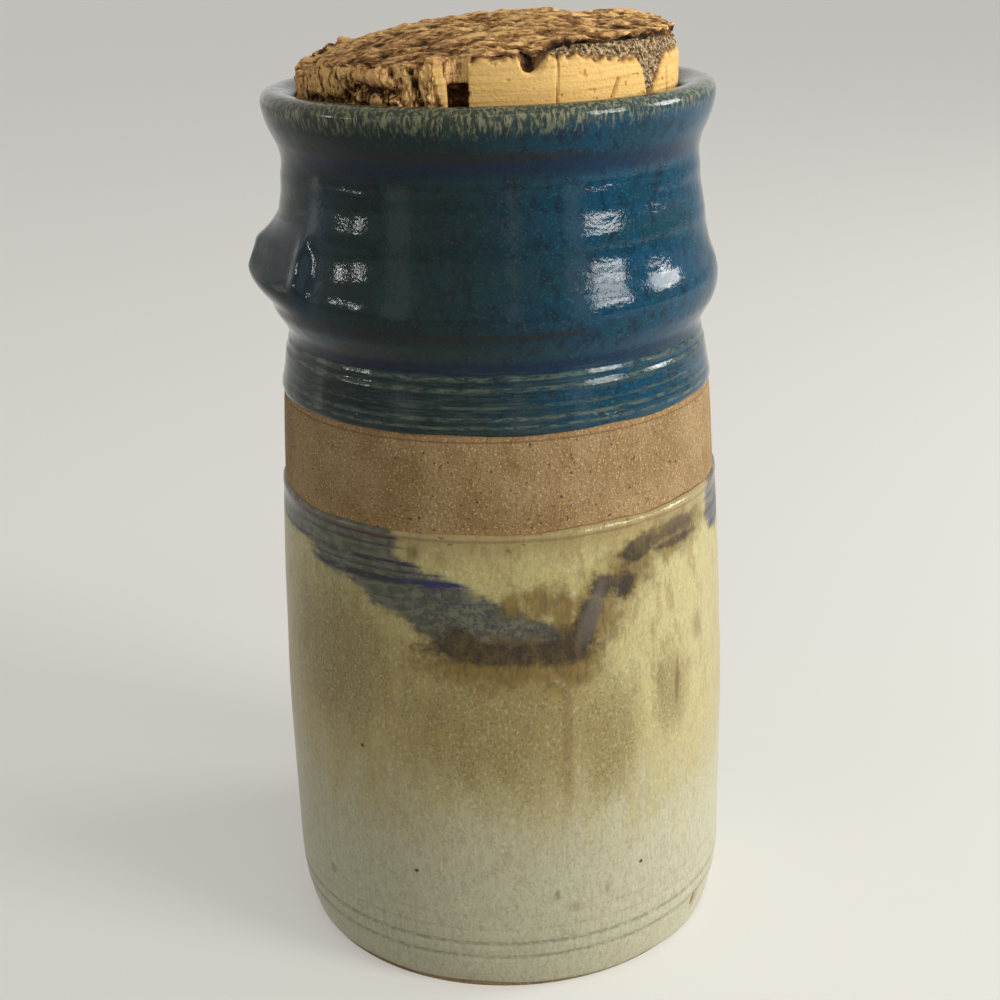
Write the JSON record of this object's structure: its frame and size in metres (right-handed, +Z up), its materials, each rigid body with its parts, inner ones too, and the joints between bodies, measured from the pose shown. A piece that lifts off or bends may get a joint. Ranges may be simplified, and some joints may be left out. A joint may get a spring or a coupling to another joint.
{
  "type": "stoneware crock with cork stopper",
  "caption": "Tall hand-thrown stoneware storage crock with a rounded shoulder roll, a thumb-pressed lug, runny glazes over bare clay, and a thick cork bark stopper in its mouth.",
  "frame": {"origin": "centre of the underside of the foot, on the crock's axis", "axes": "+Z up along the crock's axis; the thumb-pressed lug is towards -X, a little to the -Y side; the side that shows in the picture faces -Y"},
  "size_m": [0.1301, 0.1284, 0.2595],
  "materials": {
    "stoneware": "glossy dark blue-green and pale celadon glazes over bare tan stoneware",
    "cork": "rough bark above, clean cut cork round the edge"
  },
  "bodies": {
    "root": {"crock": "stoneware", "cork_stopper": "cork"}
  },
  "joints": []
}
